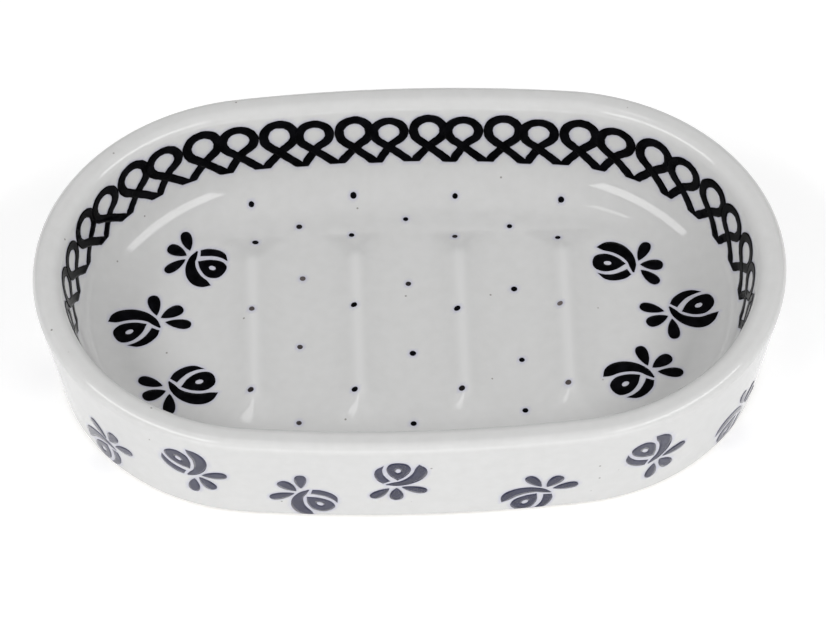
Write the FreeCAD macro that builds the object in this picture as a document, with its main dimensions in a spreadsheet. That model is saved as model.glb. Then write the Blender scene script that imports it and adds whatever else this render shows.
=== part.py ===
import FreeCAD, Part
import math
import os

import Sketcher

# Oval soap dish of glazed stoneware, with a ribbed floor that keeps the soap out of its own water.
# The clay is one fired piece: a drafted oval wall with a rounded lip, a thick floor with raised ribs,
# and a foot ring underneath. A clear glaze covers it, apart from the foot ring, which is wiped bare so
# that the dish doesn't stick to the kiln shelf. The bare ring parts the glaze into two coats.
#
# Frame: millimetres, origin on the table under the middle of the dish, X along its length, Z up.

SIZES = {
    # Oval of the lip's outer edge, in plan, on the clay before glazing
    "rim_length": 139.5,
    "rim_width": 88.6,
    "side_bow": 1.5,
    # Wall and lip
    "dish_height": 24.6,
    "outer_draft": 10.0,
    "rim_wall": 4.5,
    "inner_draft": 12.0,
    "outer_lip_radius": 1.4,
    "inner_lip_radius": 2.0,
    # Floor, between the recess in the underside and the inside of the dish
    "floor_height": 6.0,
    "floor_fillet": 9.9,
    # Foot ring
    "foot_width": 4.0,
    "foot_recess": 1.2,
    "foot_bevel": 0.5,
    # Ribs across the floor
    "rib_count": 4,
    "rib_pitch": 19.6,
    "rib_height": 1.9,
    "rib_width": 18.0,
    "rib_crest_radius": 1.6,
    "rib_length": 46.0,
    "rib_end_slope": 6.5,
    # Glaze
    "glaze_thickness": 0.4,
    "glaze_line": 0.8,
}

# How far a surface stands out from the clay's walls
TABLE = "0"
BARE = "0"
GLAZED = "sizes.glaze_thickness"

# The round ends of the oval, and the shallow arcs of its long sides, which are tangent to them
END_RADIUS = "(sizes.rim_width / 2 - sizes.side_bow)"
END_CENTRE = f"(sizes.rim_length / 2 - {END_RADIUS})"
SIDE_RADIUS = f"(({END_CENTRE}^2 + (sizes.rim_width / 2)^2 - {END_RADIUS}^2) / (2 * sizes.side_bow))"

# From the oval of the lip in to the recess in the underside, past the drafted wall and the foot ring
RECESS_OFFSET = "-(sizes.dish_height * tan(sizes.outer_draft) + sizes.foot_width)"

# How far a round turns from the lip's top to the outer wall, and from the lip or the floor to the inner one
OUTER_TURN = "(90 + sizes.outer_draft)"
INNER_TURN = "(90 - sizes.inner_draft)"
HALF_OUTER_TURN = f"{OUTER_TURN} / 2"

# Rise of a face or edge that still counts as level, as a share of the whole shape's diagonal
LEVEL_SHARE = 1e-6

# A sketch numbers the points of a curve from 1 up, and its own axes from -1 down. The first point of its
# X axis is the origin.
START = 1
END = START + 1
CENTRE = END + 1
X_AXIS = -1
Y_AXIS = X_AXIS - 1
ORIGIN = (X_AXIS, START)


def make_sheet(doc):
    """The sheet of driving sizes, one alias for each."""
    sheet = doc.addObject("Spreadsheet::Sheet", "sizes")
    for row, (alias, value) in enumerate(SIZES.items(), start=1):
        sheet.set(f"A{row}", alias)
        sheet.set(f"B{row}", str(value))
        sheet.setAlias(f"B{row}", alias)
    doc.recompute()
    return sheet


def new_sketch(body, name, plane_role, offsets):
    """A sketch on one of the body's origin planes, moved off it by an expression for each axis."""
    sketch = body.newObject("Sketcher::SketchObject", name)
    plane = next(f for f in body.Origin.OriginFeatures if f.Role == plane_role)
    sketch.AttachmentSupport = [(plane, "")]
    sketch.MapMode = "FlatFace"
    for axis, expression in offsets.items():
        sketch.setExpression(f"AttachmentOffset.Base.{axis}", expression)
    return sketch


def bind(sketch, name, constraint, expression):
    """Adds a dimension to a sketch and ties it to the sheet."""
    index = sketch.addConstraint(constraint)
    sketch.renameConstraint(index, name)
    sketch.setExpression(f"Constraints.{name}", expression)


def arc(centre, radius, start, end):
    """An arc of a circle in the sketch plane, between two angles."""
    circle = Part.Circle(FreeCAD.Vector(*centre, 0), FreeCAD.Vector(0, 0, 1), radius)
    return Part.ArcOfCircle(circle, start, end)


def line(start, end):
    """A straight segment in the sketch plane."""
    return Part.LineSegment(FreeCAD.Vector(*start, 0), FreeCAD.Vector(*end, 0))


def oval_sketch(body, name, height, offset):
    """The oval of the lip at a height, grown by an offset. All such ovals share their arcs' centres."""
    sketch = new_sketch(body, name, "XY_Plane", {"z": height})
    half_width = SIZES["rim_width"] / 2
    end_radius = half_width - SIZES["side_bow"]
    end_centre = SIZES["rim_length"] / 2 - end_radius
    side_radius = (end_centre**2 + half_width**2 - end_radius**2) / (2 * SIZES["side_bow"])
    side_centre = side_radius - half_width
    join = math.atan2(side_centre, end_centre)
    right, back, left, front = sketch.addGeometry(
        [
            arc((end_centre, 0), end_radius, -join, join),
            arc((0, -side_centre), side_radius, join, math.pi - join),
            arc((-end_centre, 0), end_radius, math.pi - join, math.pi + join),
            arc((0, side_centre), side_radius, math.pi + join, 2 * math.pi - join),
        ],
        False,
    )
    for one, other in ((right, back), (back, left), (left, front), (front, right)):
        sketch.addConstraint(Sketcher.Constraint("Tangent", one, END, other, START))
    sketch.addConstraint(Sketcher.Constraint("PointOnObject", right, CENTRE, X_AXIS))
    sketch.addConstraint(Sketcher.Constraint("PointOnObject", back, CENTRE, Y_AXIS))
    sketch.addConstraint(Sketcher.Constraint("Symmetric", right, CENTRE, left, CENTRE, *ORIGIN))
    sketch.addConstraint(Sketcher.Constraint("Equal", back, front))
    centre_distance = Sketcher.Constraint("DistanceX", *ORIGIN, right, CENTRE, end_centre)
    bind(sketch, "end_centre", centre_distance, END_CENTRE)
    end_size = Sketcher.Constraint("Radius", right, end_radius)
    bind(sketch, "end_radius", end_size, f"{END_RADIUS} + ({offset})")
    side_size = Sketcher.Constraint("Radius", back, side_radius)
    bind(sketch, "side_radius", side_size, f"{SIDE_RADIUS} + ({offset})")
    return sketch


def rib_numbers():
    """Where the rib's arcs start out before the sketch is solved: half width, flank radius and slope."""
    half_width = SIZES["rib_width"] / 2
    height = SIZES["rib_height"]
    flank_radius = (half_width**2 + height**2) / (2 * height) - SIZES["rib_crest_radius"]
    slope = 2 * math.atan2(height, half_width)
    return half_width, flank_radius, slope


def rib_section_sketch(body, name, skin, offsets):
    """Cross-section of a rib: a round crest between two hollow flanks that run out into the floor."""
    sketch = new_sketch(body, name, "XZ_Plane", offsets)
    half_width, flank_radius, slope = rib_numbers()
    crest_radius = SIZES["rib_crest_radius"]
    floor = SIZES["floor_height"]
    root = floor - SIZES["rib_height"]
    crest_centre = floor + SIZES["rib_height"] - crest_radius
    down = -math.pi / 2
    crest, right, right_foot, base, left_foot, left = sketch.addGeometry(
        [
            arc((0, crest_centre), crest_radius, -down - slope, -down + slope),
            arc((half_width, floor + flank_radius), flank_radius, down - slope, down),
            line((half_width, floor), (half_width, root)),
            line((half_width, root), (-half_width, root)),
            line((-half_width, root), (-half_width, floor)),
            arc((-half_width, floor + flank_radius), flank_radius, down, down + slope),
        ],
        False,
    )
    sketch.addConstraint(Sketcher.Constraint("Tangent", crest, START, right, START))
    sketch.addConstraint(Sketcher.Constraint("Tangent", crest, END, left, END))
    for one, one_end, other, other_end in (
        (right, END, right_foot, START),
        (right_foot, END, base, START),
        (base, END, left_foot, START),
        (left_foot, END, left, START),
    ):
        sketch.addConstraint(Sketcher.Constraint("Coincident", one, one_end, other, other_end))
    sketch.addConstraint(Sketcher.Constraint("PointOnObject", crest, CENTRE, Y_AXIS))
    sketch.addConstraint(Sketcher.Constraint("Vertical", right_foot))
    sketch.addConstraint(Sketcher.Constraint("Vertical", left_foot))
    sketch.addConstraint(Sketcher.Constraint("Horizontal", base))
    sketch.addConstraint(Sketcher.Constraint("Symmetric", right, END, left, START, Y_AXIS))
    sketch.addConstraint(Sketcher.Constraint("Vertical", right, CENTRE, right, END))
    sketch.addConstraint(Sketcher.Constraint("Vertical", left, CENTRE, left, START))
    half = Sketcher.Constraint("DistanceX", *ORIGIN, right, END, half_width)
    bind(sketch, "half_width", half, "sizes.rib_width / 2")
    height = Sketcher.Constraint("DistanceY", *ORIGIN, right, END, floor)
    bind(sketch, "floor_height", height, f"sizes.floor_height + ({skin})")
    depth = Sketcher.Constraint("DistanceY", right_foot, END, right_foot, START, floor - root)
    bind(sketch, "root_depth", depth, "sizes.rib_height")
    radius = Sketcher.Constraint("Radius", crest, crest_radius)
    bind(sketch, "crest_radius", radius, f"sizes.rib_crest_radius + ({skin})")
    crest_height = Sketcher.Constraint("DistanceY", *ORIGIN, crest, CENTRE, crest_centre)
    crest_place = "sizes.floor_height + sizes.rib_height - sizes.rib_crest_radius"
    bind(sketch, "crest_centre", crest_height, crest_place)
    return sketch


def rib_slope_sketch(body, name, skin, offsets):
    """Side view of what a rib's two sloping ends leave out: a wedge over each end, down to the floor."""
    sketch = new_sketch(body, name, "YZ_Plane", offsets)
    rib_end = SIZES["rib_length"] / 2
    crest_end = rib_end - SIZES["rib_end_slope"]
    floor = SIZES["floor_height"]
    crest_top = floor + SIZES["rib_height"]
    for side, sign in (("back", 1), ("front", -1)):
        top, end, slope = sketch.addGeometry(
            [
                line((sign * crest_end, crest_top), (sign * rib_end, crest_top)),
                line((sign * rib_end, crest_top), (sign * rib_end, floor)),
                line((sign * rib_end, floor), (sign * crest_end, crest_top)),
            ],
            False,
        )
        for one, other in ((top, end), (end, slope), (slope, top)):
            sketch.addConstraint(Sketcher.Constraint("Coincident", one, END, other, START))
        sketch.addConstraint(Sketcher.Constraint("Horizontal", top))
        sketch.addConstraint(Sketcher.Constraint("Vertical", end))
        outer, inner = (ORIGIN, (end, END)) if sign > 0 else ((end, END), ORIGIN)
        reach = Sketcher.Constraint("DistanceX", *outer, *inner, rib_end)
        bind(sketch, f"{side}_end", reach, "sizes.rib_length / 2")
        near, far = ((top, START), (top, END)) if sign > 0 else ((top, END), (top, START))
        run = Sketcher.Constraint("DistanceX", *near, *far, SIZES["rib_end_slope"])
        bind(sketch, f"{side}_run", run, "sizes.rib_end_slope")
        rise = Sketcher.Constraint("DistanceY", end, END, end, START, SIZES["rib_height"])
        bind(sketch, f"{side}_rise", rise, "sizes.rib_height")
        height = Sketcher.Constraint("DistanceY", *ORIGIN, end, END, floor)
        bind(sketch, f"{side}_floor", height, f"sizes.floor_height + ({skin})")
    return sketch


def add_feature(body, kind, name, profile, sizes, **settings):
    """A feature on a sketch, with its sizes tied to the sheet."""
    feature = body.newObject(f"PartDesign::{kind}", name)
    feature.Profile = profile
    for setting, value in settings.items():
        setattr(feature, setting, value)
    for size, expression in sizes.items():
        feature.setExpression(size, expression)
    body.Document.recompute()
    return feature


def cut_pocket(body, name, profile, sizes, **settings):
    """A pocket that has to take clay away."""
    before = body.Tip.Shape.Volume
    pocket = add_feature(body, "Pocket", name, profile, sizes, **settings)
    if not pocket.Shape.Volume < before:
        raise ValueError(f"{name} cuts nothing")
    return pocket


def level_faces(shape):
    """The flat level faces of a shape, from the lowest to the highest."""
    faces = [face for face in shape.Faces if is_level(face, shape)]
    return sorted(faces, key=lambda face: face.BoundBox.ZMin)


def is_level(item, shape):
    """Whether a face or an edge of a shape stays at one height."""
    return item.BoundBox.ZLength < shape.BoundBox.DiagonalLength * LEVEL_SHARE


def is_among(edge, edges):
    """Whether an edge is one of some others."""
    return any(edge.isSame(other) for other in edges)


def soften_edges(body, kind, name, edges, size, expression):
    """Rounds or bevels some edges of the body's last feature."""
    base = body.Tip
    found = [n for n, edge in enumerate(base.Shape.Edges, start=1) if is_among(edge, edges)]
    feature = body.newObject(f"PartDesign::{kind}", name)
    feature.Base = (base, [f"Edge{n}" for n in found])
    feature.setExpression(size, expression)
    body.Document.recompute()


def bevel_edges(body, name, edges, radius, turn):
    """Bevels edges with a flat that touches a round of that radius at its middle."""
    size = f"({radius}) * (tan(({turn}) / 2) - tan(({turn}) / 4))"
    soften_edges(body, "Chamfer", name, edges, "Size", size)


def rim_edges(body, side):
    """The edges round the outside or the inside of the rim's flat top."""
    top = level_faces(body.Tip.Shape)[-1]
    outside = top.OuterWire.Edges
    if side == "outer":
        return outside
    return [edge for edge in top.Edges if not is_among(edge, outside)]


def soften_rim_and_floor(body, label, skin, finished):
    """Softens both edges of the lip and the edge of the floor. The clay is left with plain bevels. The
    glaze over it fills the floor's edge to a round, and eases the lip's outer edge, which turns the most."""
    floor_radius = f"sizes.floor_fillet - ({skin})"
    outer_radius = f"sizes.outer_lip_radius + ({skin})"
    inner_radius = f"sizes.inner_lip_radius + ({skin})"
    floor = level_faces(body.Tip.Shape)[1]
    if finished:
        soften_edges(body, "Fillet", f"{label}_floor_round", floor.Edges, "Radius", floor_radius)
    else:
        bevel_edges(body, f"{label}_floor_bevel", floor.Edges, floor_radius, INNER_TURN)
    bevel_edges(body, f"{label}_inner_lip", rim_edges(body, "inner"), inner_radius, INNER_TURN)
    bevel_edges(body, f"{label}_outer_lip", rim_edges(body, "outer"), outer_radius, OUTER_TURN)
    if finished:
        bevel_edges(body, f"{label}_lip_ease", rim_edges(body, "outer"), outer_radius, HALF_OUTER_TURN)


def make_hull(doc, label, skin, foot_height):
    """The drafted oval with its drafted hollow, as deep as the floor and still without ribs."""
    body = doc.addObject("PartDesign::Body", label)
    rim = f"sizes.dish_height + ({skin})"
    outside = f"({skin}) * (1 / cos(sizes.outer_draft) + tan(sizes.outer_draft))"
    inside = f"-sizes.rim_wall - ({skin}) * (1 / cos(sizes.inner_draft) - tan(sizes.inner_draft))"

    outline = oval_sketch(body, f"{label}_outline", rim, outside)
    wall_sizes = {"Length": f"{rim} - ({foot_height})", "TaperAngle": "-sizes.outer_draft"}
    add_feature(body, "Pad", f"{label}_wall", outline, wall_sizes, Reversed=True)

    mouth = oval_sketch(body, f"{label}_mouth", rim, inside)
    hollow_sizes = {"Length": "sizes.dish_height - sizes.floor_height", "TaperAngle": "-sizes.inner_draft"}
    cut_pocket(body, f"{label}_hollow", mouth, hollow_sizes)
    return body


def add_ribs(body, label, skin):
    """The row of ribs on the floor, each with a sloping end at the front and at the back."""
    first = "-sizes.rib_pitch * (sizes.rib_count - 1) / 2"
    section = rib_section_sketch(body, f"{label}_rib_section", skin, {"x": first})
    rib_size = {"Length": "sizes.rib_length"}
    rib = add_feature(body, "Pad", f"{label}_rib", section, rib_size, SideType="Symmetric")
    wedges = rib_slope_sketch(body, f"{label}_rib_slope", skin, {"z": first})
    wedge_size = {"Length": "sizes.rib_width"}
    ends = cut_pocket(body, f"{label}_rib_ends", wedges, wedge_size, SideType="Symmetric")
    row = body.newObject("PartDesign::LinearPattern", f"{label}_ribs")
    row.Originals = [rib, ends]
    row.Direction = (section, ["H_Axis"])
    row.setExpression("Length", "sizes.rib_pitch * (sizes.rib_count - 1)")
    row.setExpression("Occurrences", "sizes.rib_count")
    body.Tip = row
    body.Document.recompute()


def make_stoneware(doc):
    """The fired clay, with its foot ring."""
    body = make_hull(doc, "stoneware_body", BARE, TABLE)
    soften_rim_and_floor(body, "stoneware", BARE, finished=False)
    add_ribs(body, "stoneware", BARE)
    recess = oval_sketch(body, "foot_recess", TABLE, RECESS_OFFSET)
    cut_pocket(body, "foot_hollow", recess, {"Length": "sizes.foot_recess"}, Reversed=True)
    ring = level_faces(body.Tip.Shape)[0]
    soften_edges(body, "Chamfer", "foot_edge", ring.OuterWire.Edges, "Size", "sizes.foot_bevel")
    return body


def make_foot_layer(doc, label, thickness):
    """A layer that fills the recess inside the foot ring, from the recess's ceiling down."""
    body = doc.addObject("PartDesign::Body", label)
    outline = oval_sketch(body, f"{label}_outline", "sizes.foot_recess", RECESS_OFFSET)
    add_feature(body, "Pad", f"{label}_layer", outline, {"Length": thickness}, Reversed=True)
    return body


def make_glaze_coat(doc, stoneware):
    """The coat from the glaze line up the outside, over the lip and across the ribbed floor."""
    envelope = make_hull(doc, "glaze_envelope", GLAZED, "sizes.glaze_line")
    soften_rim_and_floor(envelope, "glaze", GLAZED, finished=True)
    add_ribs(envelope, "glaze", GLAZED)
    skin = doc.addObject("Part::Cut", "glaze_skin")
    skin.Base = envelope
    skin.Tool = stoneware
    foot_space = make_foot_layer(doc, "foot_space", "sizes.foot_recess")
    coat = doc.addObject("Part::Cut", "glaze_coat")
    coat.Base = skin
    coat.Tool = foot_space
    doc.recompute()
    return coat


def make_base_glaze(doc):
    """The coat on the underside, inside the foot ring."""
    return make_foot_layer(doc, "base_glaze", "sizes.glaze_thickness")


def check_document(doc, pieces):
    """Stops if anything in the document failed, or a piece isn't one sound solid."""
    for item in doc.Objects:
        if "Invalid" in item.State or "Error" in item.State:
            raise RuntimeError(f"{item.Label} failed: {item.State}")
    for piece in pieces:
        shape = piece.Shape
        if shape.isNull() or not shape.isValid() or len(shape.Solids) != 1:
            raise RuntimeError(f"{piece.Label} isn't one sound solid")


def main():
    doc = FreeCAD.newDocument("soap_dish")
    make_sheet(doc)
    stoneware = make_stoneware(doc)
    pieces = [stoneware, make_glaze_coat(doc, stoneware), make_base_glaze(doc)]
    doc.recompute()
    check_document(doc, pieces)
    os.makedirs("parts", exist_ok=True)
    for piece in pieces:
        piece.Shape.exportStep(f"parts/{piece.Label}.step")
        print(piece.Label, round(piece.Shape.Volume), "mm3")


main()
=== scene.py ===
import math
import random

import bmesh
import bpy
from mathutils import Matrix, Vector
from mathutils.kdtree import KDTree


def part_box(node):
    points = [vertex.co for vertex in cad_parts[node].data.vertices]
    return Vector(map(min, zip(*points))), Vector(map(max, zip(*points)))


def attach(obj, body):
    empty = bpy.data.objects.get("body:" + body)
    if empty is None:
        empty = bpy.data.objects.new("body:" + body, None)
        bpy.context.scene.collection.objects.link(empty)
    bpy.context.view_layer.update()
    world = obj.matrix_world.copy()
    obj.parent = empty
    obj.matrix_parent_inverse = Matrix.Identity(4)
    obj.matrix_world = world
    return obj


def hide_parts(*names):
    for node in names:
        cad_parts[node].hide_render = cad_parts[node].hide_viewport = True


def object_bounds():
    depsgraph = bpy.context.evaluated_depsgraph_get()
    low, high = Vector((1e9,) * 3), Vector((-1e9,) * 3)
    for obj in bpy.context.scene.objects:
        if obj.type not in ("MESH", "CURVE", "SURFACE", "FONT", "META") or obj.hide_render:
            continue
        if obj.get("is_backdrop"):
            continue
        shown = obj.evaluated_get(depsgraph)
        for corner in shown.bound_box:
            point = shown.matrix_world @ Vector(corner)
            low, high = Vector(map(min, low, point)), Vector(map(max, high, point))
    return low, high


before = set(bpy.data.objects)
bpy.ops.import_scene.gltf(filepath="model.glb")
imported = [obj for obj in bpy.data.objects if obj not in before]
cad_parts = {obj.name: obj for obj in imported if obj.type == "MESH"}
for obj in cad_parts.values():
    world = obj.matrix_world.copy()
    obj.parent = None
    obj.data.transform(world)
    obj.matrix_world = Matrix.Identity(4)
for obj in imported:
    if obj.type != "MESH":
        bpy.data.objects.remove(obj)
cad_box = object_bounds()

# Oval soap dish of white glazed stoneware with black underglaze stamping. The clay and the glaze under the
# dish are the frame's own solids. The coat that shows is drawn again here with its true rounds, and the
# ornament lies on it as thin sheets of ink. Lengths are millimetres, in the frame's axes, up to the point
# where a mesh or a light is made.
MM = 0.001

# Oval of the clay's rim
RIM_LENGTH = 139.5
RIM_WIDTH = 88.6
SIDE_BOW = 1.5
END_RADIUS = RIM_WIDTH / 2 - SIDE_BOW
END_CENTRE = RIM_LENGTH / 2 - END_RADIUS
SIDE_RADIUS = (END_CENTRE**2 + (RIM_WIDTH / 2) ** 2 - END_RADIUS**2) / (2 * SIDE_BOW)
SIDE_CENTRE = SIDE_RADIUS - RIM_WIDTH / 2
JOIN_ANGLE = math.atan2(SIDE_CENTRE, END_CENTRE)

# Glazed wall, lip and floor. The glaze is drawn as a thin skin that ends in a round bead at the foot.
GLAZE = 0.4
RIM_HEIGHT = cad_box[1].z / MM
FLOOR_HEIGHT = 6.4
GLAZE_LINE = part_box("glaze_coat")[0].z / MM
RIM_WALL = 4.5
OUTER_DRAFT = math.radians(10)
INNER_DRAFT = math.radians(12)
OUTER_LIP_RADIUS = 1.8
INNER_LIP_RADIUS = 2.4
FLOOR_RADIUS = 9.5
GLAZE_BEAD = 0.3
GLAZE_SKIN = 0.12

# Offsets from the rim's oval: the corners of the profile before they are rounded
OUTER_CORNER = GLAZE * (1 / math.cos(OUTER_DRAFT) + math.tan(OUTER_DRAFT))
INNER_CORNER = -RIM_WALL - GLAZE * (1 / math.cos(INNER_DRAFT) - math.tan(INNER_DRAFT))
FLOOR_CORNER = INNER_CORNER - (RIM_HEIGHT - FLOOR_HEIGHT) * math.tan(INNER_DRAFT)
FLOOR_EDGE = FLOOR_CORNER - FLOOR_RADIUS * math.tan((math.pi / 2 - INNER_DRAFT) / 2)
WALL_FOOT = FLOOR_HEIGHT + FLOOR_RADIUS * (1 - math.sin(INNER_DRAFT))

# Ribs across the floor: a round crest runs into hollow flanks. Each end is partly cut off by a soft-edged
# slope and partly fades out. The crest's painted highlight starts at the low share of the rib's height.
RIB_COUNT = 4
RIB_PITCH = 19.6
RIB_HEIGHT = 1.9
RIB_HALF_WIDTH = 9.0
RIB_CREST_RADIUS = 2.0
RIB_HALF_LENGTH = 23.0
RIB_END_SLOPE = 6.5
RIB_SOFTNESS = 0.5
RIB_FADE_SHARE = 0.4
CREST_HIGHLIGHT_LOW_SHARE = 0.68
RIB_CREST_CENTRE = RIB_HEIGHT - RIB_CREST_RADIUS
RIB_FLANK_RADIUS = (RIB_HALF_WIDTH**2 + RIB_CREST_CENTRE**2 - RIB_CREST_RADIUS**2) / (
    2 * (RIB_CREST_RADIUS + RIB_CREST_CENTRE)
)

# Fineness of the meshes: the steps of each stretch, the step that slopes are measured over, and the reach
# within which points are one
END_STEPS = 76
SIDE_STEPS = 120
FLOOR_STEPS = 84
OUTER_WALL_STEPS = 40
INNER_WALL_STEPS = 18
LIP_STEPS = 12
BEAD_STEPS = 6
FLOOR_ROUND_STEPS = 22
STROKE_ACROSS = 4
LEG_STEPS = 8
LOOP_SIDE_STEPS = 10
CROWN_STEPS = 8
BUD_STEPS = 8
SMALL_SEPAL_STEPS = 7
LARGE_SEPAL_STEPS = 6
LEAF_STEPS = 20
DOT_STEPS = 24
FINE_STEP = 0.01
MERGE_REACH = 0.001

# Sheets of ink: how far they stand out of the glaze, how thick they are, and how far their blue bleeds into
# the glaze. A loop's stroke rises along its way to a peak, so that it lies over itself where it crosses.
INK_LIFT = 0.03
INK_THICKNESS = 0.06
BLEED_REACH = 0.75
WEAVE_LIFT = 0.02
WEAVE_PEAK_SHARE = 0.8

# Running loops on the inner wall, stamped two at a time. Each loop is a stroke that crosses itself, and the
# shallow leg on its right takes the larger share of the way to the next loop. Heights are those of the
# stroke's middle.
BORDER_STAMPS = 23
BORDER_START = 1.05
BORDER_LEVEL = 16.0
LOOP_SPACING = 7.8
LOOP_HALF_WIDTH = 2.98
LOOP_TOP = 21.45
LOOP_SIDE = 18.9
LOOP_CROSSING = 15.25
LOOP_FOOT = 11.7
LOOP_LEAD = 2.0
CROWN_SHARE = 0.55
SHALLOW_LEG_SHARE = 0.64
MIDDLE_LEG_SHARE = 0.575

# Stroke of a loop: it swells at the loop's sides and wavers in width. The legs run past their feet, which
# are cut off level and overlap their neighbours.
STROKE_HALF_WIDTH = 0.82
SIDE_SWELL = 0.1
STROKE_WIDTH_SHARES = (0.94, 1.06)
FOOT_OVERRUN = 1.5 * STROKE_HALF_WIDTH
FOOT_OVERLAP = 0.02
FOOT_CUT = 11.85
MIDDLE_FOOT_CUT = 12.0

# Unevenness of the stamps: how far each pair of loops tilts, how far its tops sway by chance, and how far
# the row strays along the wall, in several waves round the dish, and upwards, in one
STAMP_TILT = 0.22
STAMP_SWAY = 0.1
STRAY_ALONG = -0.55
STRAY_WAVES = 3
STRAY_UP = -0.5

# Rosebud stamp, about the light spot in the bud: the bud, the outer and inner edge of each sepal, and below
# them the leaves, each with its tip, its round end and its fullness
BUD_OUTLINE = [
    (0.1, -3.5),
    (1.5, -1.85),
    (2.3, 0.4),
    (1.58, 2.35),
    (0.0, 2.92),
    (-1.58, 2.4),
    (-2.15, 0.5),
    (-1.45, -1.7),
    (0.1, -3.5),
]
BUD_SPOT = (0.5, 0.74)
SMALL_SEPAL = (
    [(-2.7, 1.8), (-4.0, 0.3), (-4.25, -1.6), (-3.6, -3.6), (-2.5, -4.75)],
    [(-2.7, 1.8), (-2.88, 0.25), (-2.62, -1.4), (-1.92, -2.8), (-1.2, -3.85)],
)
LARGE_SEPAL = (
    [(3.7, 2.4), (5.0, 1.0), (5.35, -0.9), (4.5, -3.0), (2.6, -4.7), (0.2, -5.5), (-1.9, -5.3)],
    [(3.7, 2.4), (3.1, 1.05), (2.7, -0.85), (1.77, -2.6), (0.6, -3.78), (-0.6, -4.3), (-1.95, -5.0)],
)
LEAVES = [
    ((-1.25, -6.5), (-4.3, -10.1), 1.75),
    ((0.1, -6.3), (0.3, -10.7), 2.0),
    ((1.0, -5.9), (5.7, -7.4), 1.75),
]
LEAF_RUN_SHARE = 0.3
LEAF_TIP_SHARE = 0.7

# Rosebuds on the floor: place of the bud's light spot, turn in degrees and stretch along the stem
FLOOR_SPRIGS = [
    (-36.95, 15.7, -125.5, 0.93),
    (-52.65, 0.55, 117.5, 1.07),
    (-39.65, -12.05, -73, 1.04),
    (37.85, 14.3, 83.5, 0.98),
    (54.4, 3.15, -69, 1.01),
    (39.6, -15.4, 124.5, 1.02),
]

# Rosebuds on the outer wall: place along it from the middle of the front, height, turn in degrees and fade.
# Those at the back stray by chance. What reaches below the glaze is pressed flat along its edge.
FRONT_SPRIGS = [
    (-63.0, 3.9, 150, 0.16),
    (-43.6, 16.8, 34, 0.05),
    (-17.9, 5.05, -138.5, 0.06),
    (-3.5, 17.4, -3.5, 0.0),
    (19.9, 3.45, 141, 0.0),
    (41.8, 15.8, 32.5, 0.05),
    (63.8, 3.3, 122, 0.16),
]
BACK_SPRIGS = 10
BACK_HEIGHTS = (17.6, 5.2)
BACK_TURNS = (25, 215)
BACK_STRAY = 2.0
BACK_HEIGHT_STRAY = 0.6
BACK_TURN_STRAY = (-55, 35)
BACK_FADE = 0.12
OUTER_LEVEL = 12.0
EDGE_PRESS_SHARE = 0.02

# Dots on the rib crests, in the valleys and on the far side of the floor: place and how far each has faded
DOT_RADIUS = 0.58
DOT_SIZE_SHARES = (0.86, 1.1)
CREST_DOTS = [
    (-28.7, 21.5, 0.0),
    (-10.4, 23.0, 0.0),
    (9.2, 21.7, 0.1),
    (28.7, 20.4, 0.0),
    (-29.6, 3.85, 0.35),
    (-10.4, 4.2, 0.0),
    (8.95, 2.7, 0.0),
    (28.3, 3.3, 0.6),
    (-30.1, -15.7, 0.1),
    (-10.8, -16.2, 0.0),
    (9.1, -16.7, 0.05),
    (28.9, -16.1, 0.35),
]
VALLEY_DOTS = [
    (-20.3, 25.5, 0.06),
    (0.0, 26.7, 0.0),
    (19.7, 24.2, 0.0),
    (-19.9, 12.5, 0.45),
    (0.0, 10.5, 0.1),
    (19.9, 8.5, 0.0),
    (-20.75, -4.3, 0.25),
    (0.3, -6.6, 0.0),
    (20.6, -8.9, 0.0),
    (-21.3, -22.6, 0.2),
    (-0.1, -23.5, 0.0),
    (20.7, -21.1, 0.0),
]
FAR_DOTS = [
    (-29.3, 30.6, 0.0),
    (-9.8, 32.1, 0.0),
    (9.6, 31.5, 0.0),
    (29.8, 29.9, 0.0),
]

# Camera, from a fit to the dish's outline in the picture of 826 by 620 pixels
PICTURE_WIDTH = 826
FOCAL_PIXELS = 5885.7
CAMERA_TARGET = Vector((0, 0, 12))
TARGET_SHIFT_PIXELS = (-3.0, 2.9)
CAMERA_DISTANCE = 1100.0
CAMERA_ELEVATION = math.radians(49.79)
CAMERA_TURN = math.radians(1.51)
CAMERA_ROLL = math.radians(-0.39)
SENSOR_WIDTH = 36.0
CLIP_RATIO = 100

# Materials: colours, and noises as their scale in waves to the metre with their detail
NOISE_SPAN = (0.3, 0.7)
GLAZE_CLOUDS = (420, 9)
GLAZE_GREY = (0.737, 0.737, 0.73)
GLAZE_WHITE = (0.767, 0.767, 0.762)
# Painted highlight: a whiter colour mixed into the glaze along the rib crests
CREST_HIGHLIGHT_WHITE = (0.805, 0.805, 0.8)
CREST_HIGHLIGHT_FULL_SHARE = 0.9
BLEED_BLUE = (0.56, 0.56, 0.7)
BLEED_SHARE = 0.75
SPECK_BROWN = (0.16, 0.14, 0.12)
SPECK_SHARE = 0.75
SPECK_CELLS = 230
SPECK_EDGE = (0.03, 0.06)
SPECK_CHOICE = (0.5, 0.52)
GLOSS_PATCHES = (70, 2)
GLOSS_ROUGHNESS = (0.05, 0.1)
GLOSS_WAVES = (55, 1)
GLOSS_WAVE_DEPTH = 0.16
ORANGE_PEEL = (700, 2)
ORANGE_PEEL_DEPTH = 0.006
INK_CLOUDS = (500, 3)
INK_CLOUD_SPAN = (0.4, 0.75)
INKS = {
    "ink_inside": {
        "specular": 0.03,
        "dark": (0.001, 0.001, 0.0015),
        "pale": (0.005, 0.005, 0.007),
        "thin": (0.28, 0.24, 0.23),
    },
    # Painted reflection: the same ink as inside, drawn paler and bluer where it lies on the outer wall
    "ink_outside": {
        "specular": 0.33,
        "dark": (0.012, 0.013, 0.045),
        "pale": (0.028, 0.03, 0.075),
        "thin": (0.4, 0.4, 0.47),
    },
}
CLAY_CLOUDS = (160, 5)
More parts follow.
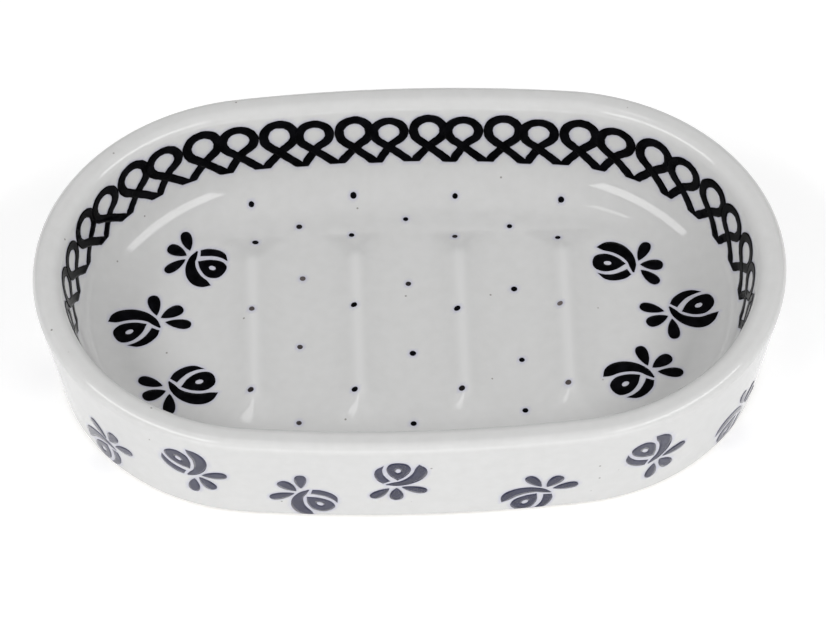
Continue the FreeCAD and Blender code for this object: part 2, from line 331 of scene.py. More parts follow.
CLAY_DARK = (0.6, 0.55, 0.47)
CLAY_PALE = (0.72, 0.68, 0.6)
CLAY_GRAIN = (1800, 4)
CLAY_GRAIN_DEPTH = 0.05
CLAY_GRAIN_STRENGTH = 0.6
CLAY_ROUGHNESS = (0.65, 0.85)

# Colour sockets of a mix node, which share their names with its other sockets
MIX_FIRST = 6
MIX_SECOND = 7
MIX_RESULT = 2

# Table and lamps
TABLE_SIZE = 3000.0
TABLE_WHITE = (0.9, 0.9, 0.9)
TABLE_GLOW = 0.4
ROOM_GREY = (0.36, 0.36, 0.36)
LAMPS = {
    "left": {"place": (-612, -354, 707), "size": (930, 280), "watts": 3.35},
    "right": {"place": (612, -354, 707), "size": (930, 280), "watts": 3.35},
    "front": {"place": (0, -950, 75), "size": (1500, 130), "watts": 2.4},
    "overhead": {"place": (-130, 130, 890), "size": (110, 130), "watts": 0.12},
}
LAMP_TARGET = Vector((0, 0, 10))

SEED = 7


def oval_arc(angle):
    """Centre and radius of the arc of the rim's oval that faces in a direction."""
    if math.cos(angle) > math.cos(JOIN_ANGLE):
        return END_CENTRE, 0.0, END_RADIUS
    if math.cos(angle) < -math.cos(JOIN_ANGLE):
        return -END_CENTRE, 0.0, END_RADIUS
    return 0.0, math.copysign(SIDE_CENTRE, -math.sin(angle)), SIDE_RADIUS


def oval_point(angle, offset):
    """Point of the rim's oval, grown by an offset, where it faces in a direction."""
    centre_x, centre_y, radius = oval_arc(angle)
    reach = radius + offset
    return centre_x + reach * math.cos(angle), centre_y + reach * math.sin(angle)


def arc_lengths(offset):
    """Lengths of the oval's arcs, from the tip at +X round by the back, each with the angle it turns."""
    end = JOIN_ANGLE, END_RADIUS + offset
    side = math.pi - 2 * JOIN_ANGLE, SIDE_RADIUS + offset
    return [(turn, turn * radius) for turn, radius in (end, side, end, end, side, end)]


def oval_length(offset):
    """Length all the way round the oval."""
    return sum(length for _, length in arc_lengths(offset))


def angle_at(length, offset):
    """Direction that the oval faces in, at a length along it from the tip at +X."""
    left = length % oval_length(offset)
    angle = 0.0
    for turn, arc in arc_lengths(offset):
        if left <= arc:
            return angle + turn * left / arc
        left -= arc
        angle += turn
    return angle


def plan_offset(x, y):
    """How far a point of the plan lies outside the rim's oval."""
    along = abs(x) - END_CENTRE
    across = abs(y)
    if along > 0 and math.atan2(across, along) < JOIN_ANGLE:
        return math.hypot(along, across) - END_RADIUS
    return math.hypot(x, across + SIDE_CENTRE) - SIDE_RADIUS


def soft_least(one, other, softness):
    """The lesser of two heights, eased where they meet."""
    blend = max(softness - abs(one - other), 0.0) / softness
    return min(one, other) - blend * blend * softness / 4


def rib_rise(x, y):
    """Height of the ribs above the floor: a round crest, hollow flanks and a slope at each end."""
    first = -RIB_PITCH * (RIB_COUNT - 1) / 2
    nearest = min(max(round((x - first) / RIB_PITCH), 0), RIB_COUNT - 1)
    aside = abs(x - first - nearest * RIB_PITCH)
    if aside >= RIB_HALF_WIDTH:
        return 0.0
    tangent_share = RIB_CREST_RADIUS / (RIB_CREST_RADIUS + RIB_FLANK_RADIUS)
    if aside < RIB_HALF_WIDTH * tangent_share:
        section = RIB_CREST_CENTRE + math.sqrt(RIB_CREST_RADIUS**2 - aside**2)
    else:
        section = RIB_FLANK_RADIUS - math.sqrt(RIB_FLANK_RADIUS**2 - (RIB_HALF_WIDTH - aside) ** 2)
    left = max(RIB_HALF_LENGTH - abs(y), 0.0) / RIB_END_SLOPE
    cut = max(soft_least(section, RIB_HEIGHT * left, RIB_SOFTNESS), 0.0)
    faded = section * min(left, 1.0)
    return cut + (faded - cut) * RIB_FADE_SHARE


def crest_highlight_share(point):
    """How near a point of the glaze is to a rib's crest, as the mask of its painted highlight: 1 on the
    crest, 0 past its round.
    """
    if plan_offset(point.x, point.y) > FLOOR_EDGE:
        return 0.0
    height_share = rib_rise(point.x, point.y) / RIB_HEIGHT
    return min(max((height_share - CREST_HIGHLIGHT_LOW_SHARE) / (1 - CREST_HIGHLIGHT_LOW_SHARE), 0.0), 1.0)


def inside_height(x, y):
    """Height of the glaze inside the dish, on its floor and on the round at the floor's edge."""
    past_edge = plan_offset(x, y) - FLOOR_EDGE
    if past_edge <= 0:
        return FLOOR_HEIGHT + rib_rise(x, y)
    return FLOOR_HEIGHT + FLOOR_RADIUS - math.sqrt(max(FLOOR_RADIUS**2 - past_edge**2, 0))


def inner_offset(z):
    """Offset of the inner wall, or of the round below it, at a height."""
    if z >= WALL_FOOT:
        return INNER_CORNER - (RIM_HEIGHT - z) * math.tan(INNER_DRAFT)
    return FLOOR_EDGE + math.sqrt(FLOOR_RADIUS**2 - (FLOOR_HEIGHT + FLOOR_RADIUS - z) ** 2)


def outer_offset(z):
    """Offset of the outer wall at a height."""
    return OUTER_CORNER - (RIM_HEIGHT - z) * math.tan(OUTER_DRAFT)


def floor_spot(x, y, lift):
    """Point on the inside of the dish over a place in the plan, lifted off the glaze."""
    rise_x = inside_height(x + FINE_STEP, y) - inside_height(x - FINE_STEP, y)
    rise_y = inside_height(x, y + FINE_STEP) - inside_height(x, y - FINE_STEP)
    normal = Vector((-rise_x, -rise_y, 2 * FINE_STEP)).normalized()
    return Vector((x, y, inside_height(x, y))) + normal * lift


def wall_spot(angle, z, offset_at, side, lift):
    """Point on a wall at a height, lifted off the glaze. The side is 1 on the outer wall and -1 inside."""
    slope = (offset_at(z + FINE_STEP) - offset_at(z - FINE_STEP)) / (2 * FINE_STEP)
    normal = Vector((math.cos(angle), math.sin(angle), -slope)).normalized() * side
    return Vector((*oval_point(angle, offset_at(z)), z)) + normal * lift


def inner_wall_spot(along, z, lift):
    """Point on the inner wall, at a length along it from the middle of the back towards +X."""
    level = inner_offset(BORDER_LEVEL)
    angle = angle_at(oval_length(level) / 4 - along, level)
    return wall_spot(angle, z, inner_offset, -1, lift)


def outer_wall_spot(along, z, lift):
    """Point on the outer wall, at a length along it from the middle of the front towards +X.

    What would lie below the glaze is pressed into a fine line along the glaze's edge.
    """
    level = outer_offset(OUTER_LEVEL)
    angle = angle_at(oval_length(level) * 3 / 4 + along, level)
    edge = GLAZE_LINE + GLAZE_BEAD
    height = max(z, edge) + min(z - edge, 0.0) * EDGE_PRESS_SHARE
    return wall_spot(angle, height, outer_offset, 1, lift)


def arc_points(centre, radius, start, end, steps):
    """Points of an arc of the profile, between two angles."""
    points = []
    for step in range(steps + 1):
        angle = start + (end - start) * step / steps
        points.append((centre[0] + radius * math.cos(angle), centre[1] + radius * math.sin(angle)))
    return points


def fill_in(start, end, steps):
    """Points between two others, without those two."""
    shares = [step / steps for step in range(1, steps)]
    return [tuple(a + (b - a) * share for a, b in zip(start, end)) for share in shares]


def glaze_profile():
    """Offsets and heights of the glaze, from its bead at the foot over the lip to the edge of the floor."""
    bead_height = GLAZE_LINE + GLAZE_BEAD
    bead_middle = outer_offset(bead_height) - GLAZE_BEAD, bead_height
    bead = arc_points(bead_middle, GLAZE_BEAD, -math.pi / 2, -OUTER_DRAFT, BEAD_STEPS)
    outer_run = OUTER_LIP_RADIUS * math.tan((math.pi / 2 + OUTER_DRAFT) / 2)
    outer_middle = OUTER_CORNER - outer_run, RIM_HEIGHT - OUTER_LIP_RADIUS
    outer_lip = arc_points(outer_middle, OUTER_LIP_RADIUS, -OUTER_DRAFT, math.pi / 2, LIP_STEPS)
    inner_run = INNER_LIP_RADIUS * math.tan((math.pi / 2 - INNER_DRAFT) / 2)
    inner_middle = INNER_CORNER + inner_run, RIM_HEIGHT - INNER_LIP_RADIUS
    inner_lip = arc_points(inner_middle, INNER_LIP_RADIUS, math.pi / 2, math.pi - INNER_DRAFT, LIP_STEPS)
    floor_middle = FLOOR_EDGE, FLOOR_HEIGHT + FLOOR_RADIUS
    floor_round = arc_points(floor_middle, FLOOR_RADIUS, -INNER_DRAFT, -math.pi / 2, FLOOR_ROUND_STEPS)
    outer_wall = fill_in(bead[-1], outer_lip[0], OUTER_WALL_STEPS)
    inner_wall = fill_in(inner_lip[-1], floor_round[0], INNER_WALL_STEPS)
    return bead + outer_wall + outer_lip + inner_lip + inner_wall + floor_round


def half_oval_angles():
    """Directions round the back half of the oval, from the tip at +X to the tip at -X."""
    end = [JOIN_ANGLE * step / END_STEPS for step in range(END_STEPS)]
    side = []
    for step in range(SIDE_STEPS + 1):
        side.append(math.acos(math.cos(JOIN_ANGLE) * (1 - 2 * step / SIDE_STEPS)))
    return end + side + [math.pi - angle for angle in reversed(end)]


def new_piece(name, points, faces, material, slot, values):
    """A smooth mesh piece that rides on the dish, with a value for each point kept as an attribute."""
    mesh = bpy.data.meshes.new(name)
    mesh.from_pydata([point * MM for point in points], [], faces)
    for attribute, numbers in values.items():
        layer = mesh.attributes.new(attribute, "FLOAT", "POINT")
        layer.data.foreach_set("value", numbers)
    build = bmesh.new()
    build.from_mesh(mesh)
    bmesh.ops.remove_doubles(build, verts=build.verts, dist=MERGE_REACH * MM)
    bmesh.ops.dissolve_degenerate(build, edges=build.edges, dist=MERGE_REACH * MM)
    build.to_mesh(mesh)
    build.free()
    mesh.shade_smooth()
    mesh.materials.append(material)
    piece = bpy.data.objects.new(name, mesh)
    bpy.context.collection.objects.link(piece)
    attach(piece, "root")
    return piece


def thicken(piece, thickness):
    """Closes an open sheet by giving it a thickness under its face."""
    solid = piece.modifiers.new("thickness", "SOLIDIFY")
    solid.thickness = thickness * MM
    solid.offset = -1


def glaze_rings(angles):
    """Points and faces of the rings of glaze, from the foot over the lip to the edge of the floor."""
    profile = glaze_profile()
    points = [Vector((*oval_point(angle, offset), z)) for offset, z in profile for angle in angles]
    faces = []
    count = len(angles)
    for ring in range(len(profile) - 1):
        low = ring * count
        high = low + count
        for spot in range(count):
            after = (spot + 1) % count
            faces.append((low + spot, low + after, high + after, high + spot))
    return points, faces


def floor_column(points, far, near):
    """Adds the points across the floor between two points of its edge, and lists the column.

    At the tips of the oval the two are one point.
    """
    if far == near:
        return [far] * (FLOOR_STEPS + 1)
    x = points[far].x
    reach = points[far].y
    column = [far]
    for row in range(1, FLOOR_STEPS):
        y = reach * (1 - 2 * row / FLOOR_STEPS)
        column.append(len(points))
        points.append(Vector((x, y, inside_height(x, y))))
    return [*column, near]


def floor_faces(points, back_count, count):
    """Adds the points of the ribbed floor inside the last ring, and gives the faces between its columns."""
    edge = len(points) - count
    columns = []
    for spot in range(back_count):
        columns.append(floor_column(points, edge + spot, edge + (count - spot) % count))
    faces = []
    for one, other in zip(columns, columns[1:]):
        for row in range(FLOOR_STEPS):
            corners = [one[row], other[row], other[row + 1], one[row + 1]]
            faces.append(tuple(dict.fromkeys(corners)))
    return faces


def make_glaze(material, ink_points):
    """The coat of glaze that shows, with the ink's blue and the mask of the crests' painted highlight kept
    for its material.
    """
    back = half_oval_angles()
    angles = back + [-angle for angle in reversed(back[1:-1])]
    points, faces = glaze_rings(angles)
    faces += floor_faces(points, len(back), len(angles))
    values = {
        "bleed": [bleed_at(point, ink_points) for point in points],
        "crest": [crest_highlight_share(point) for point in points],
    }
    glaze = new_piece("glaze_skin", points, faces, material, "glaze", values)
    thicken(glaze, GLAZE_SKIN)
    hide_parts("glaze_coat")


def bleed_at(point, ink_points):
    """How much of the ink's blue has run into the glaze at a point: 1 at the ink and 0 out of its reach."""
    distance = ink_points.find(point)[2]
    left = max(1 - distance / BLEED_REACH, 0.0)
    return left * left * (3 - 2 * left)


def ink_tree(sheets):
    """Search tree of all the points of the ink."""
    points = [point for sheet in sheets for point in sheet["points"]]
    tree = KDTree(len(points))
    for index, point in enumerate(points):
        tree.insert(point, index)
    tree.balance()
    return tree


def spline(points, steps):
    """Points of a smooth line through others, evenly many in each stretch."""
    first = [2 * a - b for a, b in zip(points[0], points[1])]
    last = [2 * a - b for a, b in zip(points[-1], points[-2])]
    run = [first, *points, last]
    line = []
    for before, start, end, after in zip(run, run[1:], run[2:], run[3:]):
        for step in range(steps):
            t = step / steps
            line.append(tuple(catmull_rom(*numbers, t) for numbers in zip(before, start, end, after)))
    return [*line, tuple(points[-1])]


def catmull_rom(before, start, end, after, t):
    """One coordinate of a smooth line between a start and an end."""
    bend = 2 * before - 5 * start + 4 * end - after
    twist = 3 * (start - end) + after - before
    return start + ((end - before) * t + bend * t**2 + twist * t**3) / 2


def bezier(start, lead, trail, end, steps):
    """Points of a curve from a start to an end, drawn by the leads at each."""
    line = []
    for step in range(steps + 1):
        t = step / steps
        weights = ((1 - t) ** 3, 3 * (1 - t) ** 2 * t, 3 * (1 - t) * t**2, t**3)
        spot = []
        for numbers in zip(start, lead, trail, end):
            spot.append(sum(weight * number for weight, number in zip(weights, numbers)))
        line.append(tuple(spot))
    return line


def new_sheet():
    """An empty sheet of ink."""
    return {"points": [], "faces": [], "fade": []}


def add_stroke(sheet, left, right, place, fade):
    """Lays a stroke of ink between its two edges, each a row of points in the stamp's own plane."""
    start = len(sheet["points"])
    width = STROKE_ACROSS + 1
    for row, (one, other) in enumerate(zip(left, right)):
        for step in range(width):
            share = step / STROKE_ACROSS
            spot = [a + (b - a) * share for a, b in zip(one, other)]
            sheet["points"].append(place(*spot, row / (len(left) - 1)))
            sheet["fade"].append(fade)
    for row in range(len(left) - 1):
        for step in range(STROKE_ACROSS):
            corner = start + row * width + step
            sheet["faces"].append((corner, corner + 1, corner + width + 1, corner + width))


def leaf_edges(tip, end, fullness):
    """The two edges of a teardrop leaf, from its tip to its round end."""
    run = Vector(end) - Vector(tip)
    aside = Vector((-run.y, run.x)).normalized() * fullness
    edges = []
    for side in (1, -1):
        lead = Vector(tip) + run * LEAF_RUN_SHARE + aside * side * LEAF_TIP_SHARE
        trail = Vector(end) + aside * side
        edges.append(bezier(tip, lead, trail, end, LEAF_STEPS))
    return edges


def add_sprig(sheet, place, fade):
    """Stamps a rosebud: the bud with its light spot, a small and a large sepal, and three leaves."""
    outline = spline(BUD_OUTLINE, BUD_STEPS)
    steps = len(outline) - 1
    spot = []
    for step in range(steps + 1):
        angle = -math.pi / 2 + 2 * math.pi * step / steps
        spot.append((BUD_SPOT[0] * math.cos(angle), BUD_SPOT[1] * math.sin(angle)))
    strokes = [(spot, outline)]
    strokes.append([spline(edge, SMALL_SEPAL_STEPS) for edge in reversed(SMALL_SEPAL)])
    strokes.append([spline(edge, LARGE_SEPAL_STEPS) for edge in LARGE_SEPAL])
    strokes.extend(reversed(leaf_edges(*leaf)) for leaf in LEAVES)
    for left, right in strokes:
        add_stroke(sheet, left, right, place, fade)


def stamp_place(spot_at, x, y, turn, stretch=1.0):
    """A function that lays the stamp's own plane on a surface, turned about the bud's light spot."""
    turned = Matrix.Rotation(turn, 2)

    def place(along, up, _):
        moved = turned @ Vector((along, up * stretch))
        return spot_at(x + moved.x, y + moved.y, INK_LIFT)

    return place


def make_floor_sprigs():
    """The rosebuds at the two ends of the floor."""
    sheet = new_sheet()
    for x, y, turn, stretch in FLOOR_SPRIGS:
        add_sprig(sheet, stamp_place(floor_spot, x, y, math.radians(turn), stretch), 0.0)
    return sheet


def make_wall_sprigs(rng):
    """The rosebuds round the outer wall. Those at the back are spread evenly, up and down by turns."""
    sprigs = list(FRONT_SPRIGS)
    start = FRONT_SPRIGS[-1][0]
    gap = oval_length(outer_offset(OUTER_LEVEL)) + FRONT_SPRIGS[0][0] - start
    for number in range(BACK_SPRIGS):
        along = start + gap * (number + 1) / (BACK_SPRIGS + 1) + rng.uniform(-BACK_STRAY, BACK_STRAY)
        height = BACK_HEIGHTS[number % 2] + rng.uniform(-BACK_HEIGHT_STRAY, BACK_HEIGHT_STRAY)
        turn = BACK_TURNS[number % 2] + rng.uniform(*BACK_TURN_STRAY)
        sprigs.append((along, height, turn, rng.uniform(0.0, BACK_FADE)))
    sheet = new_sheet()
    for along, height, turn, fade in sprigs:
        add_sprig(sheet, stamp_place(outer_wall_spot, along, height, math.radians(turn)), fade)
    return sheet


def make_dots(rng):
    """The dots on the floor, a little uneven in size and some of them faded."""
    sheet = new_sheet()
    turns = [2 * math.pi * step / DOT_STEPS for step in range(DOT_STEPS + 1)]
    for x, y, fade in CREST_DOTS + VALLEY_DOTS + FAR_DOTS:
        radius = DOT_RADIUS * rng.uniform(*DOT_SIZE_SHARES)
        ring = [(radius * math.cos(turn), radius * math.sin(turn)) for turn in turns]
        place = stamp_place(floor_spot, x, y, 0.0)
        add_stroke(sheet, [(0.0, 0.0)] * len(ring), ring, place, fade)
    return sheet


def loop_path(left_foot, right_foot):
    """Middle of a loop's stroke: up the steep leg, round the loop and down the shallow leg."""
    crossing = Vector((0, LOOP_CROSSING))
    up_left_leg = (crossing - left_foot).normalized()
    up_right_leg = (crossing - right_foot).normalized()
    left_end = left_foot - up_left_leg * FOOT_OVERRUN
    right_end = right_foot - up_right_leg * FOOT_OVERRUN
    lead = Vector((0, LOOP_LEAD))
    top = Vector((0, LOOP_TOP))
    right = Vector((LOOP_HALF_WIDTH, LOOP_SIDE))
    left = Vector((-LOOP_HALF_WIDTH, LOOP_SIDE))
    crown = Vector((LOOP_HALF_WIDTH * CROWN_SHARE, 0))
    shoulder = Vector((0, (LOOP_TOP - LOOP_SIDE) * CROWN_SHARE))
    path = [left_end, left_foot, *fill_in(left_foot, crossing, LEG_STEPS)]
    path += bezier(crossing, crossing + up_left_leg * LOOP_LEAD, right - lead, right, LOOP_SIDE_STEPS)
    path += bezier(right, right + shoulder, top + crown, top, CROWN_STEPS)[1:]
    path += bezier(top, top - crown, left + shoulder, left, CROWN_STEPS)[1:]
    path += bezier(left, left - lead, crossing + up_right_leg * LOOP_LEAD, crossing, LOOP_SIDE_STEPS)[1:]
    path += [*fill_in(crossing, right_foot, LEG_STEPS), right_foot, right_end]
    return [Vector(spot) for spot in path]


def loop_edges(left_reach, right_reach, left_cut, right_cut, rng):
    """The two edges of a loop's stroke, with the waver of a hand-cut stamp and its feet cut off level."""
    path = loop_path(Vector((-left_reach, LOOP_FOOT)), Vector((right_reach, LOOP_FOOT)))
    edges = [], []
    for before, spot, after in zip([path[0], *path], path, [*path[1:], path[-1]]):
        run = after - before
        aside = Vector((-run.y, run.x)).normalized()
        on_leg = spot.y < LOOP_CROSSING
        swell = 0.0 if on_leg else SIDE_SWELL * (spot.x / LOOP_HALF_WIDTH) ** 2
        for edge, side in zip(edges, (-1, 1)):
            half_width = (STROKE_HALF_WIDTH + swell) * rng.uniform(*STROKE_WIDTH_SHARES)
            x, z = spot + aside * side * half_width
            if on_leg:
                x = min(max(x, -left_reach - FOOT_OVERLAP), right_reach + FOOT_OVERLAP)
                z = max(z, left_cut if spot.x < 0 else right_cut)
            edge.append((x, z))
    return edges


def make_border(rng):
    """The running loops round the inner wall, two to a stamp."""
    sheet = new_sheet()
    pitch = oval_length(inner_offset(BORDER_LEVEL)) / BORDER_STAMPS
    gap = pitch - LOOP_SPACING
    outer_reach = gap * (1 - SHALLOW_LEG_SHARE), gap * SHALLOW_LEG_SHARE
    middle_reach = LOOP_SPACING * MIDDLE_LEG_SHARE, LOOP_SPACING * (1 - MIDDLE_LEG_SHARE)
    loops = (
        (-1, outer_reach[0], middle_reach[0], FOOT_CUT, MIDDLE_FOOT_CUT),
        (1, middle_reach[1], outer_reach[1], MIDDLE_FOOT_CUT, FOOT_CUT),
    )
    for stamp in range(BORDER_STAMPS):
        middle = BORDER_START + pitch * stamp
        sway = rng.uniform(-STAMP_SWAY, STAMP_SWAY)
        for side, *legs in loops:
            edges = loop_edges(*legs, rng)
            place = border_place(middle + side * LOOP_SPACING / 2, sway + side * STAMP_TILT)
            add_stroke(sheet, *edges, place, 0.0)
    return sheet


def border_stray(along):
    """How far the hand-set row of loops strays along the wall and upwards, at a place along it."""
    way = 2 * math.pi * along / oval_length(inner_offset(BORDER_LEVEL))
    return STRAY_ALONG * math.sin(STRAY_WAVES * way), STRAY_UP * math.sin(way)


def border_place(middle, tilt):
    """A function that lays a loop on the inner wall, its top moved up by the stamp's tilt."""

    def place(along, z, share):
        up = max((z - LOOP_CROSSING) / (LOOP_TOP - LOOP_CROSSING), 0.0)
        weave = WEAVE_LIFT * min(share / WEAVE_PEAK_SHARE, (1 - share) / (1 - WEAVE_PEAK_SHARE))
        stray_along, stray_up = border_stray(middle + along)
        return inner_wall_spot(middle + along + stray_along, z + tilt * up + stray_up, INK_LIFT + weave)

    return place


def new_material(name):
    """An empty node material and its parts: the nodes, the links and the surface shader."""
    material = bpy.data.materials.new(name)
    material.use_nodes = True
    nodes, links = material.node_tree.nodes, material.node_tree.links
    return material, nodes, links, nodes["Principled BSDF"]


def add_node(nodes, kind, settings=None, inputs=None):
    """A node with its settings and the values of its unlinked sockets."""
    node = nodes.new(kind)
    for name, value in (settings or {}).items():
        setattr(node, name, value)
    for name, value in (inputs or {}).items():
        node.inputs[name].default_value = value
    return node


def add_noise(nodes, links, where, scale, detail):
    """Noise in the dish's own coordinates."""
    node = add_node(nodes, "ShaderNodeTexNoise", inputs={"Scale": scale, "Detail": detail})
    links.new(where.outputs["Object"], node.inputs["Vector"])
    return node.outputs["Fac"]


def point_value(nodes, name):
    """A value that the mesh keeps for each of its points."""
    return add_node(nodes, "ShaderNodeAttribute", {"attribute_name": name}).outputs["Fac"]


def combine(nodes, links, operation, one, other):
    """Combines two values by an operation."""
    node = add_node(nodes, "ShaderNodeMath", {"operation": operation})
    links.new(one, node.inputs[0])
    links.new(other, node.inputs[1])
    return node.outputs["Value"]


def add_bumps(nodes, links, height, depth, strength=1.0, under=None):
    """Bumps of a depth in millimetres, on top of others where those are given."""
    node = add_node(nodes, "ShaderNodeBump", inputs={"Strength": strength, "Distance": depth * MM})
    links.new(height, node.inputs["Height"])
    if under is not None:
        links.new(under, node.inputs["Normal"])
    return node.outputs["Normal"]


def spread(nodes, links, source, span, to_span=(0, 1)):
    """Maps a span of a value onto another, held at its ends."""
    limits = dict(zip(("From Min", "From Max", "To Min", "To Max"), (*span, *to_span)))
    node = add_node(nodes, "ShaderNodeMapRange", {"clamp": True}, limits)
    links.new(source, node.inputs["Value"])
    return node.outputs["Result"]


def mix_colour(nodes, links, share, first, second):
    """Mixes two colours, each a plain colour or another node's output."""
    node = add_node(nodes, "ShaderNodeMix", {"data_type": "RGBA"})
    links.new(share, node.inputs["Factor"])
    for socket, colour in ((MIX_FIRST, first), (MIX_SECOND, second)):
        if isinstance(colour, tuple):
            node.inputs[socket].default_value = (*colour, 1)
        else:
            links.new(colour, node.inputs[socket])
    return node.outputs[MIX_RESULT]


def add_glossy_surface(nodes, links, where, shader):
    """The gloss of fired glaze: nearly smooth, with slow waves and a fine orange peel."""
    patches = add_noise(nodes, links, where, *GLOSS_PATCHES)
    links.new(spread(nodes, links, patches, NOISE_SPAN, GLOSS_ROUGHNESS), shader.inputs["Roughness"])
    waves = add_noise(nodes, links, where, *GLOSS_WAVES)
    slow = add_bumps(nodes, links, waves, GLOSS_WAVE_DEPTH)
    peel = add_noise(nodes, links, where, *ORANGE_PEEL)
    fine = add_bumps(nodes, links, peel, ORANGE_PEEL_DEPTH, under=slow)
    links.new(fine, shader.inputs["Normal"])


def make_glaze_material():
    """White glaze, faintly mottled, with a painted highlight of whiter colour on the crests, iron specks
    and blue bled from the ink.
    """
    material, nodes, links, shader = new_material("white_glaze")
    where = add_node(nodes, "ShaderNodeTexCoord")
    clouds = spread(nodes, links, add_noise(nodes, links, where, *GLAZE_CLOUDS), NOISE_SPAN)
    mottled = mix_colour(nodes, links, clouds, GLAZE_GREY, GLAZE_WHITE)
    # Painted highlight: the crests are mixed towards a whiter colour
    crest = spread(nodes, links, point_value(nodes, "crest"), (0, CREST_HIGHLIGHT_FULL_SHARE))
    white = mix_colour(nodes, links, crest, mottled, CREST_HIGHLIGHT_WHITE)
    bleed = spread(nodes, links, point_value(nodes, "bleed"), (0, 1), (0, BLEED_SHARE))
    stained = mix_colour(nodes, links, bleed, white, BLEED_BLUE)
    speckled = mix_colour(nodes, links, add_specks(nodes, links, where), stained, SPECK_BROWN)
    links.new(speckled, shader.inputs["Base Color"])
    add_glossy_surface(nodes, links, where, shader)
    return material


def add_specks(nodes, links, where):
    """A mask of small scattered specks: the middles of some of the cells of a random division of space."""
    cells = add_node(nodes, "ShaderNodeTexVoronoi", inputs={"Scale": SPECK_CELLS})
    links.new(where.outputs["Object"], cells.inputs["Vector"])
    core = spread(nodes, links, cells.outputs["Distance"], SPECK_EDGE, (SPECK_SHARE, 0))
    chosen = spread(nodes, links, cells.outputs["Color"], SPECK_CHOICE)
    return combine(nodes, links, "MULTIPLY", core, chosen)


def make_ink_material(name, specular, dark, pale, thin):
    """Black underglaze ink under the same gloss, uneven in strength and lighter where it is thin."""
    material, nodes, links, shader = new_material(name)
    where = add_node(nodes, "ShaderNodeTexCoord")
    clouds = spread(nodes, links, add_noise(nodes, links, where, *INK_CLOUDS), INK_CLOUD_SPAN)
    black = mix_colour(nodes, links, clouds, dark, pale)
    faded = mix_colour(nodes, links, point_value(nodes, "fade"), black, thin)
    links.new(faded, shader.inputs["Base Color"])
    shader.inputs["Specular IOR Level"].default_value = specular
    add_glossy_surface(nodes, links, where, shader)
    return material


def make_stoneware_material():
    """Bare pale clay: matt, grainy and a little uneven in tone."""
    material, nodes, links, shader = new_material("bare_stoneware")
    where = add_node(nodes, "ShaderNodeTexCoord")
    clouds = spread(nodes, links, add_noise(nodes, links, where, *CLAY_CLOUDS), NOISE_SPAN)
    links.new(mix_colour(nodes, links, clouds, CLAY_DARK, CLAY_PALE), shader.inputs["Base Color"])
    grain = add_noise(nodes, links, where, *CLAY_GRAIN)
    links.new(spread(nodes, links, grain, NOISE_SPAN, CLAY_ROUGHNESS), shader.inputs["Roughness"])
    bumps = add_bumps(nodes, links, grain, CLAY_GRAIN_DEPTH, CLAY_GRAIN_STRENGTH)
    links.new(bumps, shader.inputs["Normal"])
    return material


def make_table_material():
    """White that keeps the dish's shadow, and is lifted to full white for the eye and in reflections."""
    material, nodes, links, shader = new_material("white_table")
    shader.inputs["Base Color"].default_value = (*TABLE_WHITE, 1)
    shader.inputs["Roughness"].default_value = 1
    shader.inputs["Specular IOR Level"].default_value = 0
    shader.inputs["Emission Color"].default_value = (1, 1, 1, 1)
    rays = add_node(nodes, "ShaderNodeLightPath").outputs
    seen = combine(nodes, links, "MAXIMUM", rays["Is Camera Ray"], rays["Is Glossy Ray"])
    seen = combine(nodes, links, "MAXIMUM", seen, rays["Is Transmission Ray"])
    links.new(spread(nodes, links, seen, (0, 1), (0, TABLE_GLOW)), shader.inputs["Emission Strength"])
    return material


def make_table():
    """The white table that the dish stands on."""
    mesh = bpy.data.meshes.new("table")
    half = TABLE_SIZE / 2 * MM
    corners = [(-half, -half, 0), (half, -half, 0), (half, half, 0), (-half, half, 0)]
    mesh.from_pydata(corners, [], [(0, 1, 2, 3)])
    mesh.materials.append(make_table_material())
    table = bpy.data.objects.new("table", mesh)
    bpy.context.collection.objects.link(table)
    table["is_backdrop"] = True


def aim(item, place, target, roll=0.0):
    """Stands a lamp or the camera at a place and points it at a target."""
    direction = target - place
    turn = direction.to_track_quat("-Z", "Y").to_matrix() @ Matrix.Rotation(roll, 3, "Z")
    item.matrix_world = Matrix.Translation(place * MM) @ turn.to_4x4()


def make_lamps():
    """Soft lamps round the dish, in a plain grey room."""
    for name, lamp in LAMPS.items():
        light = bpy.data.lights.new(name, "AREA")
        light.shape = "RECTANGLE"
        light.size, light.size_y = (side * MM for side in lamp["size"])
        light.energy = lamp["watts"]
        item = bpy.data.objects.new(name, light)
        bpy.context.collection.objects.link(item)
        aim(item, Vector(lamp["place"]), LAMP_TARGET)
    world = bpy.data.worlds.new("room")
    bpy.context.scene.world = world
    world.use_nodes = True
    world.node_tree.nodes["Background"].inputs["Color"].default_value = (*ROOM_GREY, 1)


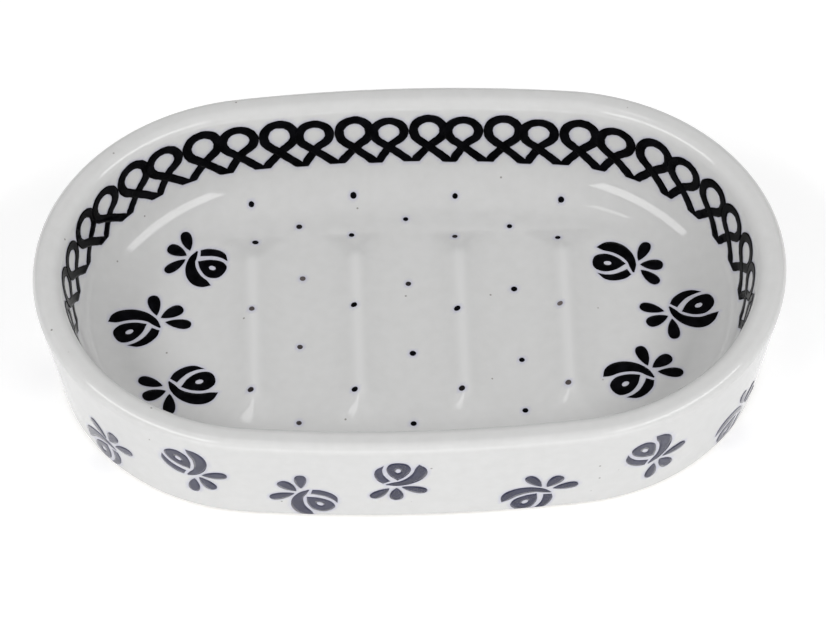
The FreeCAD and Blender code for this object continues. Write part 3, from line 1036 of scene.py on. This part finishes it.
def make_camera():
    """The camera of the picture, aimed so that the dish lands where the picture has it."""
    data = bpy.data.cameras.new("camera")
    data.sensor_width = SENSOR_WIDTH
    data.lens = FOCAL_PIXELS / PICTURE_WIDTH * SENSOR_WIDTH
    data.clip_start = CAMERA_DISTANCE / CLIP_RATIO * MM
    data.clip_end = CAMERA_DISTANCE * CLIP_RATIO * MM
    camera = bpy.data.objects.new("camera", data)
    bpy.context.collection.objects.link(camera)
    level = Vector((math.sin(CAMERA_TURN), math.cos(CAMERA_TURN), 0))
    ahead = level * math.cos(CAMERA_ELEVATION) - Vector((0, 0, math.sin(CAMERA_ELEVATION)))
    right = Vector((level.y, -level.x, 0))
    up = right.cross(ahead)
    place = CAMERA_TARGET - ahead * CAMERA_DISTANCE
    pixel = CAMERA_DISTANCE / FOCAL_PIXELS
    target = CAMERA_TARGET - (right * TARGET_SHIFT_PIXELS[0] + up * TARGET_SHIFT_PIXELS[1]) * pixel
    aim(camera, place, target, CAMERA_ROLL)
    bpy.context.scene.camera = camera


def dress_node(name, material):
    """Gives one of the frame's own solids a finish."""
    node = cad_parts[name]
    node.data.materials.clear()
    node.data.materials.append(material)


def make_dish():
    """The ink, the glaze over the clay, and the finish of the solids that show underneath."""
    rng = random.Random(SEED)
    inks = {name: make_ink_material(name, **finish) for name, finish in INKS.items()}
    sheets = {
        "loop_border": (make_border(rng), "ink_inside"),
        "floor_dots": (make_dots(rng), "ink_inside"),
        "floor_sprigs": (make_floor_sprigs(), "ink_inside"),
        # The outer wall's sprigs take the ink copy with painted reflection
        "wall_sprigs": (make_wall_sprigs(rng), "ink_outside"),
    }
    for name, (sheet, slot) in sheets.items():
        values = {"fade": sheet["fade"]}
        piece = new_piece(name, sheet["points"], sheet["faces"], inks[slot], slot, values)
        thicken(piece, INK_THICKNESS)
    glaze = make_glaze_material()
    make_glaze(glaze, ink_tree([sheet for sheet, _ in sheets.values()]))
    dress_node("base_glaze", glaze)
    dress_node("stoneware_body", make_stoneware_material())


make_camera()
make_dish()
make_table()
make_lamps()
bpy.context.scene.view_settings.view_transform = "Standard"

boxes = {"cad": cad_box, "visual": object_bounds()}
{name: [list(corner) for corner in box] for name, box in boxes.items()}
